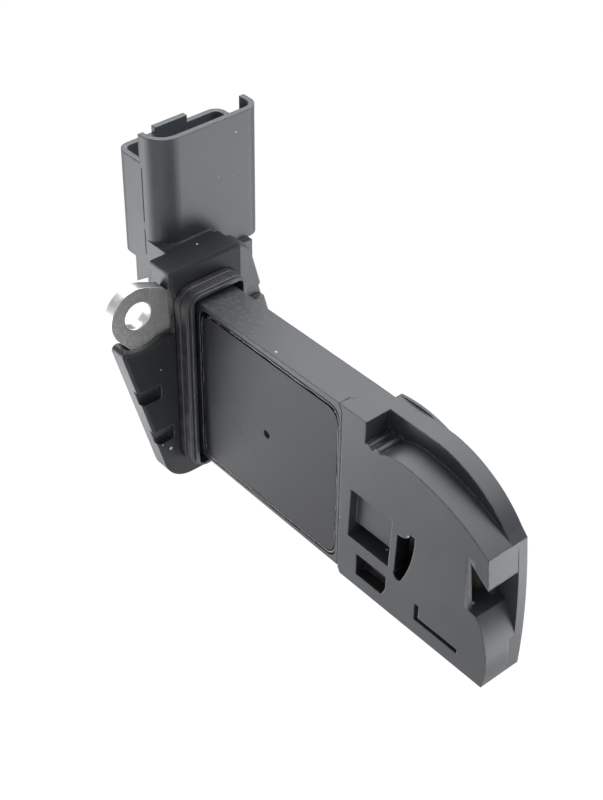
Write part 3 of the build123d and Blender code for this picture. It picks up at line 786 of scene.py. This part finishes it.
class NodeGraph:
    """Geometry nodes on a carrier object, with named inputs, turned into a plain mesh at the end."""

    def __init__(self, name: str) -> None:
        """Start an empty graph.

        Args:
            name: the name of the graph and of the piece that it makes.
        """
        self.name = name
        self.tree = bpy.data.node_groups.new(name, "GeometryNodeTree")
        self.tree.interface.new_socket("Geometry", in_out="INPUT", socket_type="NodeSocketGeometry")
        self.tree.interface.new_socket("Geometry", in_out="OUTPUT", socket_type="NodeSocketGeometry")
        self.entry = self.tree.nodes.new("NodeGroupInput")
        self.exit = self.tree.nodes.new("NodeGroupOutput")
        self.given: Dict[str, Any] = {}

    def number(self, name: str, value: float) -> bpy.types.NodeSocket:
        """Add a named input.

        Args:
            name: its name.
            value: its value.

        Returns:
            The socket that carries it.
        """
        socket = self.tree.interface.new_socket(name, in_out="INPUT", socket_type="NodeSocketFloat")
        self.given[socket.identifier] = value
        return self.entry.outputs[name]

    def node(self, kind: str, inputs: Optional[Dict[Any, Any]] = None, **settings: Any) -> bpy.types.Node:
        """Add one node.

        Args:
            kind: the node's type.
            inputs: values or links for its sockets, by name or number.
            settings: properties of the node, which are set first.

        Returns:
            The node.
        """
        made = self.tree.nodes.new(kind)
        for key, setting in settings.items():
            setattr(made, key, setting)
        for key, given in (inputs or {}).items():
            if isinstance(given, bpy.types.NodeSocket):
                self.tree.links.new(given, made.inputs[key])
            else:
                made.inputs[key].default_value = given
        return made

    def finish(self, geometry: bpy.types.NodeSocket, start: bpy.types.Object,
               material: bpy.types.Material) -> bpy.types.Object:
        """Close the graph, run it once on a start object and keep the mesh.

        Args:
            geometry: the graph's last geometry.
            start: the object that it runs on, which is removed.
            material: the material of the mesh.

        Returns:
            The piece.
        """
        whole = self.node("GeometryNodeRealizeInstances", {0: geometry})
        painted = self.node("GeometryNodeSetMaterial", {0: whole.outputs[0], "Material": material})
        self.tree.links.new(painted.outputs[0], self.exit.inputs[0])
        bpy.context.scene.collection.objects.link(start)
        modifier = start.modifiers.new(self.name, "NODES")
        modifier.node_group = self.tree
        for key, value in self.given.items():
            modifier[key] = value
        start.update_tag()
        bpy.context.view_layer.update()
        solved = start.evaluated_get(bpy.context.evaluated_depsgraph_get())
        mesh = bpy.data.meshes.new_from_object(solved)
        piece = bpy.data.objects.new(self.name, mesh)
        bpy.context.scene.collection.objects.link(piece)
        start.modifiers.remove(modifier)
        bpy.data.objects.remove(start)
        LOG.info("%s built with %d faces", self.name, len(mesh.polygons))
        return piece


@dataclass(frozen=True)
class Fleck:
    """A speck on a face.

    Attributes:
        place: where it is, in millimetres.
        facing: which way the face looks.
        reach: half the speck's breadth, in millimetres.
    """

    place: Point
    facing: Point
    reach: float


@dataclass(frozen=True)
class PaleDust:
    """Chalky dust or bruised plastic."""

    name: str
    colour: Colour = (0.62, 0.64, 0.66)
    shade: Colour = (0.34, 0.35, 0.37)
    shade_edge: Span = (0.4, 0.6)
    crumb_size: float = 0.12
    crumb_height: float = 0.02
    roughness: float = 0.7
    unevenness: float = 0.2

    def build(self) -> bpy.types.Material:
        """Make the material.

        Returns:
            The material.
        """
        nodes = NodeMaker(self.name)
        crumbs = nodes.noise(self.crumb_size)
        return nodes.surface({
            "Base Color": nodes.over(crumbs.ramp(*self.shade_edge), self.colour, self.shade),
            "Roughness": self.roughness + crumbs * self.unevenness,
            "Normal": nodes.relief(crumbs, self.crumb_height),
        })


@dataclass
class DustFlecks:
    """The pale specks that the photograph shows on the plastic."""

    flecks: Tuple[Fleck, ...] = (
        Fleck((-4.35, 1.78, 21.90), UP, 0.20),
        Fleck((0.0, -9.85, 3.97), OUTWARD, 0.14),
        Fleck((3.02, -3.85, -10.36), NEARWARD, 0.12),
        Fleck((0.0, -10.30, -12.20), OUTWARD, 0.15),
        Fleck((0.0, -8.65, -13.79), OUTWARD, 0.34),
        Fleck((21.46, -2.84, 16.84), UP, 0.24),
        Fleck((38.45, -3.85, -5.59), NEARWARD, 0.12),
        Fleck((-6.50, 12.10, 38.20), OUTWARD, 0.17),
        Fleck((-6.50, 8.30, 31.20), OUTWARD, 0.08),
        Fleck((-6.50, 11.40, 30.40), OUTWARD, 0.07),
        Fleck((46.86, -1.36, -8.10), UP, 0.22),
        Fleck((66.20, -2.30, -4.10), UP, 0.36),
        Fleck((53.66, -3.85, 1.21), NEARWARD, 0.20),
    )
    flatness: float = 0.3
    unevenness: float = 0.35
    lump_scale: float = 1.3
    subdivisions: int = 3

    def build(self) -> None:
        """Set an uneven flattened grain on each place."""
        mesh = bpy.data.meshes.new("fleck_places")
        mesh.from_pydata([Vector(f.place) * MM for f in self.flecks], [], [])
        mesh.attributes.new("facing", "FLOAT_VECTOR", "POINT")
        mesh.attributes.new("reach", "FLOAT", "POINT")
        facing, reach = mesh.attributes["facing"], mesh.attributes["reach"]
        for i, fleck in enumerate(self.flecks):
            facing.data[i].vector = fleck.facing
            reach.data[i].value = fleck.reach * MM
        graph = NodeGraph("dust_flecks")
        flatness = graph.number("Flatness", self.flatness)
        uneven = graph.number("Unevenness", self.unevenness)
        lumps = graph.number("Lump Scale", self.lump_scale)
        grain = graph.node("GeometryNodeMeshIcoSphere", {"Radius": 1.0, "Subdivisions": self.subdivisions})
        clouds = graph.node("ShaderNodeTexNoise", {"Scale": lumps, "Detail": 2.0}, noise_dimensions="3D")
        centred = graph.node("ShaderNodeVectorMath", {0: clouds.outputs["Color"], 1: (0.5, 0.5, 0.5)},
                             operation="SUBTRACT")
        pushed = graph.node("ShaderNodeVectorMath", {0: centred.outputs[0], "Scale": uneven},
                            operation="SCALE")
        lumpy = graph.node("GeometryNodeSetPosition", {0: grain.outputs[0], "Offset": pushed.outputs[0]})
        squash = graph.node("ShaderNodeCombineXYZ", {0: 1.0, 1: 1.0, 2: flatness})
        flat = graph.node("GeometryNodeTransform", {0: lumpy.outputs[0], "Scale": squash.outputs[0]})
        normal = graph.node("GeometryNodeInputNamedAttribute", {"Name": "facing"}, data_type="FLOAT_VECTOR")
        size = graph.node("GeometryNodeInputNamedAttribute", {"Name": "reach"}, data_type="FLOAT")
        turn = graph.node("FunctionNodeAlignRotationToVector", {"Vector": normal.outputs[0]}, axis="Z")
        points = graph.node("GeometryNodeMeshToPoints", {0: graph.entry.outputs[0]})
        sown = graph.node("GeometryNodeInstanceOnPoints", {
            "Points": points.outputs[0], "Instance": flat.outputs[0], "Rotation": turn.outputs[0],
            "Scale": size.outputs[0]})
        start = bpy.data.objects.new("fleck_places", mesh)
        piece = graph.finish(sown.outputs[0], start, PaleDust("pale_dust").build())
        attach(piece, BODY)


@dataclass
class SealantBead:
    """The poured adhesive in the groove round the circuit cover, uneven as it has flowed.

    Attributes:
        low: the groove's low corner, along X and Z, in millimetres.
        high: its high corner.
        corner: the radius of its corners.
        corner_steps: how many points make one corner.
        side_steps: how many steps make one side.
        long_side: the length above which a step is a side and not part of a corner.
        level: where the bead lies along Y.
        thickness: the bead's radius.
        ring_sides: how many sides its section has.
        swelling: how far it swells for a full swing of the noise.
        wave: the length of one swell.
        drops: the X, the Z and the radius of each drop on the bead.
        drop_rise: how far the drops stand out from the bead.
        drop_shape: how a drop is drawn out along X, Y and Z.
        drop_levels: how finely a drop is rounded.
    """

    low: Span = (3.40, -15.28)
    high: Span = (37.40, 15.33)
    corner: float = 2.15
    corner_steps: int = 7
    side_steps: int = 60
    long_side: float = 3.0
    level: float = -3.44
    thickness: float = 0.36
    ring_sides: int = 14
    swelling: float = 0.52
    wave: float = 3.2
    drops: Tuple[Point, ...] = (
        (5.3, 14.9, 0.46), (8.0, 15.2, 0.42), (12.4, 15.3, 0.44), (14.6, 15.4, 0.52), (36.7, 14.7, 0.42),
    )
    drop_rise: float = 0.06
    drop_shape: Point = (1.5, 0.8, 0.95)
    drop_levels: int = 3

    def path(self) -> List[Vector]:
        """Follow the groove round the cover.

        Returns:
            Points along it, in metres.
        """
        (left, low), (right, high) = self.low, self.high
        near, far = left + self.corner, right - self.corner
        foot, head = low + self.corner, high - self.corner
        corners: List[Vector] = []
        for x, z, begin in ((far, foot, -90.0), (far, head, 0.0), (near, head, 90.0), (near, foot, 180.0)):
            for step in range(self.corner_steps):
                turn = math.radians(begin + 90.0 * step / (self.corner_steps - 1))
                corners.append(Vector((x + self.corner * math.cos(turn), self.level,
                                       z + self.corner * math.sin(turn))))
        points: List[Vector] = []
        for i, here in enumerate(corners):
            ahead = corners[(i + 1) % len(corners)]
            steps = self.side_steps if (ahead - here).length > self.long_side else 1
            points += [here.lerp(ahead, k / steps) * MM for k in range(steps)]
        return points

    def curve(self) -> bpy.types.Curve:
        """Draw the groove as a closed curve.

        Returns:
            The curve.
        """
        curve = bpy.data.curves.new("sealant_path", "CURVE")
        curve.dimensions = "3D"
        points = self.path()
        spline = curve.splines.new("POLY")
        spline.points.add(len(points) - 1)
        for point, place in zip(spline.points, points):
            point.co = (*place, 1.0)
        spline.use_cyclic_u = True
        return curve

    def build(self) -> None:
        """Sweep the bead, let it swell unevenly and add the drops that stand on it."""
        graph = NodeGraph("sealant_bead")
        thickness = graph.number("Thickness", self.thickness * MM)
        swelling = graph.number("Swelling", self.swelling * MM)
        density = graph.number("Density", 1.0 / (self.wave * MM))
        ring = graph.node("GeometryNodeCurvePrimitiveCircle", {
            "Resolution": self.ring_sides, "Radius": thickness})
        swept = graph.node("GeometryNodeCurveToMesh", {
            0: graph.entry.outputs[0], "Profile Curve": ring.outputs[0], "Fill Caps": False})
        clouds = graph.node("ShaderNodeTexNoise", {"Scale": density, "Detail": 3.0}, noise_dimensions="3D")
        centred = graph.node("ShaderNodeMath", {0: clouds.outputs[0], 1: 0.5}, operation="SUBTRACT")
        amount = graph.node("ShaderNodeMath", {0: centred.outputs[0], 1: swelling}, operation="MULTIPLY")
        normal = graph.node("GeometryNodeInputNormal")
        offset = graph.node("ShaderNodeVectorMath", {0: normal.outputs[0], "Scale": amount.outputs[0]},
                            operation="SCALE")
        uneven = graph.node("GeometryNodeSetPosition", {0: swept.outputs[0], "Offset": offset.outputs[0]})
        smooth = graph.node("GeometryNodeSetShadeSmooth", {0: uneven.outputs[0], "Shade Smooth": True})
        joined = graph.node("GeometryNodeJoinGeometry", {0: smooth.outputs[0]})
        for x, z, radius in self.drops:
            drop = graph.node("GeometryNodeMeshIcoSphere", {
                "Radius": radius * MM, "Subdivisions": self.drop_levels})
            placed = graph.node("GeometryNodeTransform", {
                0: drop.outputs[0], "Translation": Vector((x, self.level - self.drop_rise, z)) * MM,
                "Scale": self.drop_shape})
            soft = graph.node("GeometryNodeSetShadeSmooth", {0: placed.outputs[0], "Shade Smooth": True})
            graph.tree.links.new(soft.outputs[0], joined.inputs[0])
        start = bpy.data.objects.new("sealant_path", self.curve())
        piece = graph.finish(joined.outputs[0], start, PouredAdhesive("poured_adhesive").build())
        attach(piece, BODY)
        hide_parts("cover_sealant")


@dataclass
class Housing:
    """The moulded body with its flange, spigot, blade, neck and plug socket.

    Attributes:
        hairlines: the parting line down the socket, in two halves.
        socket_painted_light: painted light that makes the walls inside the socket paler.
        blade_scuff: the blotched top of the blade.
        flange_top_shade: painted shade that darkens the top edge of the flange.
        flange_front_shade: painted shade that darkens the front face of the flange.
        channel_glint: a painted glint of light in the air channel.
        tip_from: where along X the tip's joints begin, in millimetres.
    """

    hairlines: Tuple[SurfaceMark, ...] = tuple(
        SurfaceMark((-11.10, -4.6, low), (-10.86, -3.5, high), (0.001, 0.001, 0.001), 1.0, 0.03, gloss=-0.5)
        for low, high in ((25.2, 35.4), (18.9, 23.8)))
    # Painted light: a paler colour on the walls inside the socket.
    socket_painted_light: SurfaceMark = SurfaceMark(
        (-17.3, -2.9, 25.0), (-11.5, 16.5, 42.0), (0.105, 0.120, 0.138), 0.85, 0.1)
    blade_scuff: SurfaceMark = SurfaceMark(
        (3.0, -4.0, 16.4), (16.0, 3.0, 17.4), (0.110, 0.115, 0.122), 0.7, 1.4, 0.8)
    # Painted shade: a dark colour on the top of the flange.
    flange_top_shade: SurfaceMark = SurfaceMark(
        (-6.0, -7.6, 21.4), (0.2, 8.5, 22.2), (0.008, 0.009, 0.010), 0.9, 0.2, gloss=-0.2)
    # Painted shade: a dark colour on the front face of the flange, where the blade shades it.
    flange_front_shade: SurfaceMark = SurfaceMark(
        (-0.5, -22.0, -22.2), (0.3, 7.4, 22.2), (0.010, 0.011, 0.013), 0.9, 0.12, gloss=-0.3)
    # Painted light: a pale yellowish glint on the wall of the air channel.
    channel_glint: SurfaceMark = SurfaceMark(
        (60.8, 0.6, -4.3), (64.6, 2.2, -0.9), (0.360, 0.355, 0.300), 0.8, 0.6)
    tip_from: float = 38.4

    def build(self) -> None:
        """Dress the moulded body."""
        marks = (*self.hairlines, self.socket_painted_light, self.blade_scuff, self.flange_top_shade,
                 self.flange_front_shade, self.channel_glint)
        plastic = MouldedPlastic("housing_plastic", joints=(NEAR_JOINT, FAR_JOINT),
                                 joints_from=self.tip_from, marks=marks)
        dress("housing", plastic.build())


@dataclass
class FlangeSeal:
    """The rubber seal round the spigot."""

    rubber: SealRubber = SealRubber("seal_rubber")

    def build(self) -> None:
        """Dress the seal."""
        dress("flange_seal", self.rubber.build())


@dataclass
class ScrewLugs:
    """The two metal eyes in the flange."""

    steel: PlatedSteel = PlatedSteel("lug_steel")

    def build(self) -> None:
        """Dress both lugs."""
        metal = self.steel.build()
        for node in ("upper_lug", "lower_lug"):
            dress(node, metal)


@dataclass
class CircuitBay:
    """The circuit in the blade, its gel, its cover and the adhesive round the cover."""

    capacitors: int = 4
    links: int = 3
    bead: SealantBead = field(default_factory=SealantBead)
    crease: ArcMark = ArcMark((9.0, -2.0), (16.04, -5.46), (21.43, -9.88), 0.09)
    cover_colour: Colour = (0.0185, 0.0192, 0.0215)
    cover_pale: Colour = (0.0240, 0.0250, 0.0285)

    def build(self) -> None:
        """Dress every piece of the bay."""
        cover = MouldedPlastic("cover_plastic", colour=self.cover_colour, pale=self.cover_pale,
                               roughness=0.50, specular=0.34, grain=Grain.SMOOTH,
                               grain_height=0.006, edge_radius=0.2, arcs=(self.crease,))
        dress("circuit_cover", cover.build())
        self.bead.build()
        dress("circuit_board", BoardLaminate("board_laminate").build())
        resin = FiredCeramic("chip_resin", (0.012, 0.012, 0.012), (0.03, 0.03, 0.03), 0.5).build()
        dress("control_chip", resin)
        dress("element_carrier", resin)
        chip = FiredCeramic("polished_chip", (0.10, 0.11, 0.14), (0.2, 0.2, 0.22), 0.12).build()
        dress("sensing_element", chip)
        dress("temperature_sensor", chip)
        dress("potting_gel", SoftGel("potting_gel").build())
        fired = FiredCeramic("capacitor_ceramic", (0.42, 0.30, 0.19), (0.5, 0.4, 0.28)).build()
        tinned = TinnedMetal("link_metal").build()
        for i in range(1, self.capacitors + 1):
            dress(f"capacitor_{i}", fired)
        for i in range(1, self.links + 1):
            dress(f"carrier_link_{i}", tinned)


@dataclass
class BypassTip:
    """The two covers that close the air channel in the tip of the blade.

    Attributes:
        slot_shade: painted shade that darkens the walls of the curved slot.
        port_shade: painted shade that dims the walls of the port below the window.
        mouth_edge_light: painted light that makes the left edge of the inlet mouth paler.
    """

    # Painted shade: near black on the walls of the curved slot.
    slot_shade: SurfaceMark = SurfaceMark(
        (50.9, -3.7, -9.4), (55.2, 1.0, 2.0), (0.0015, 0.0015, 0.0018), 0.95, 0.12)
    # Painted shade: a dim colour on the walls of the port below the window.
    port_shade: SurfaceMark = SurfaceMark(
        (42.4, -3.7, -15.3), (49.6, -1.0, -10.5), (0.0060, 0.0060, 0.0070), 0.8, 0.12)
    # Painted light: a paler colour on the left edge of the inlet mouth.
    mouth_edge_light: SurfaceMark = SurfaceMark(
        (66.0, -3.95, -4.0), (67.3, -2.9, 6.0), (0.110, 0.115, 0.125), 0.8, 0.15)

    def build(self) -> None:
        """Dress both covers."""
        near = MouldedPlastic("bypass_plastic", joints=(NEAR_JOINT,),
                              marks=(self.slot_shade, self.port_shade, self.mouth_edge_light))
        dress("bypass_cover", near.build())
        far = MouldedPlastic("rear_plastic", joints=(FAR_JOINT,))
        dress("rear_bypass_cover", far.build())


@dataclass
class PlugPins:
    """The leads whose ends are the pins of the plug socket."""

    count: int = 4

    def build(self) -> None:
        """Dress the leads."""
        tinned = TinnedMetal("lead_metal").build()
        for i in range(1, self.count + 1):
            dress(f"lead_{i}", tinned)


@dataclass(frozen=True)
class Softbox:
    """A soft lamp: where it is, how large it is, how brightly it glows and what it faces, in metres."""

    name: str
    place: Point
    size: Span
    glow: float
    aim: Point = (0.025, 0.0, 0.005)
    colour: Colour = (0.96, 0.98, 1.0)


@dataclass
class Studio:
    """The camera, the pale floor and the soft lights."""

    camera_place: Point = (0.1792, -0.13505, 0.1734)
    camera_turn: float = 48.897
    camera_height: float = 38.916
    camera_roll: float = 0.723
    lens: float = 74.418
    sensor: float = 36.0
    clip: Span = (0.01, 10.0)
    floor_drop: float = 0.11
    floor_half: float = 3.0
    floor_colour: Colour = (0.8, 0.8, 0.8)
    floor_glow: float = 0.96
    world_strength: float = 0.5
    lamps: Tuple[Softbox, ...] = (
        Softbox("softbox_over", (-0.10, 0.30, 0.44), (1.2, 0.48), 4.0),
        Softbox("glow_left", (-0.125, -0.155, -0.09), (0.15, 0.10), 5.6, (0.03, -0.004, 0.005)),
        Softbox("glow_right", (0.15, 0.14, -0.12), (0.18, 0.16), 4.9, (0.02, 0.0, 0.01)),
        Softbox("glow_corner", (0.10, -0.15, -0.11), (0.12, 0.10), 1.6, (0.0, 0.0, 0.02)),
        Softbox("glow_wing", (-0.097, -0.033, -0.13), (0.05, 0.05), 3.2, (-0.002, -0.01, -0.01)),
    )

    def camera(self) -> None:
        """Place the camera where the photograph was taken from."""
        turn, rise = math.radians(self.camera_turn), math.radians(self.camera_height)
        roll = math.radians(self.camera_roll)
        back = Vector((math.sin(turn) * math.cos(rise), -math.cos(turn) * math.cos(rise), math.sin(rise)))
        right = Vector((math.cos(turn), math.sin(turn), 0.0))
        up = back.cross(right)
        side = right * math.cos(roll) + up * math.sin(roll)
        top = up * math.cos(roll) - right * math.sin(roll)
        data = bpy.data.cameras.new("camera")
        data.lens, data.sensor_width = self.lens, self.sensor
        data.clip_start, data.clip_end = self.clip
        camera = bpy.data.objects.new("camera", data)
        axes = Matrix((side, top, back)).transposed().to_4x4()
        camera.matrix_world = Matrix.Translation(Vector(self.camera_place)) @ axes
        bpy.context.scene.collection.objects.link(camera)
        bpy.context.scene.camera = camera

    def floor(self) -> None:
        """Lay a pale floor under the part, white where the camera sees it."""
        low = CAD_BOX[0].z - self.floor_drop
        mesh = bpy.data.meshes.new("floor")
        half = self.floor_half
        corners = [(-half, -half, low), (half, -half, low), (half, half, low), (-half, half, low)]
        mesh.from_pydata(corners, [], [(0, 1, 2, 3)])
        floor = bpy.data.objects.new("floor", mesh)
        bpy.context.scene.collection.objects.link(floor)
        nodes = NodeMaker("floor_paper")
        path = nodes.node("ShaderNodeLightPath")
        seen = Term(nodes, path.outputs["Is Camera Ray"])
        for ray in ("Is Glossy Ray", "Is Transmission Ray"):
            seen = seen.larger(Term(nodes, path.outputs[ray]))
        paper = nodes.node("ShaderNodeBsdfDiffuse", None, {"Color": (*self.floor_colour, 1.0)})
        glow = nodes.node("ShaderNodeEmission", None, {"Color": (1.0, 1.0, 1.0, 1.0), "Strength": 1.0})
        mix = nodes.node("ShaderNodeMixShader", None, {
            0: seen * self.floor_glow, 1: paper.outputs[0], 2: glow.outputs[0]})
        nodes.node("ShaderNodeOutputMaterial", None, {"Surface": mix.outputs[0]})
        mesh.materials.append(nodes.material)

    def lamp(self, softbox: Softbox) -> None:
        """Add one soft lamp that faces the part.

        Args:
            softbox: what the lamp is like.
        """
        data = bpy.data.lights.new(softbox.name, "AREA")
        data.shape = "RECTANGLE"
        data.size, data.size_y = softbox.size
        data.energy = softbox.glow * math.pi * softbox.size[0] * softbox.size[1]
        data.color = softbox.colour
        lamp = bpy.data.objects.new(softbox.name, data)
        lamp.location = softbox.place
        lamp.rotation_mode = "QUATERNION"
        lamp.rotation_quaternion = (Vector(softbox.aim) - Vector(softbox.place)).to_track_quat("-Z", "Y")
        lamp.visible_camera = False
        bpy.context.scene.collection.objects.link(lamp)

    def world(self) -> None:
        """Surround the part with an even white light."""
        world = bpy.data.worlds.new("studio")
        world.use_nodes = True
        shade = world.node_tree.nodes["Background"]
        shade.inputs["Color"].default_value = (1.0, 1.0, 1.0, 1.0)
        shade.inputs["Strength"].default_value = self.world_strength
        bpy.context.scene.world = world

    def build(self) -> None:
        """Set up the whole studio."""
        self.camera()
        self.floor()
        self.world()
        for softbox in self.lamps:
            self.lamp(softbox)
        bpy.context.scene.view_settings.view_transform = "Standard"


def main() -> None:
    """Build the studio and every sub-assembly in order."""
    logging.basicConfig(level=logging.INFO, format="%(message)s")
    Studio().build()
    assemblies = (Housing(), FlangeSeal(), ScrewLugs(), CircuitBay(), BypassTip(), PlugPins(), DustFlecks())
    for assembly in assemblies:
        assembly.build()
        LOG.info("%s finished", type(assembly).__name__)


if __name__ == "__main__":
    main()
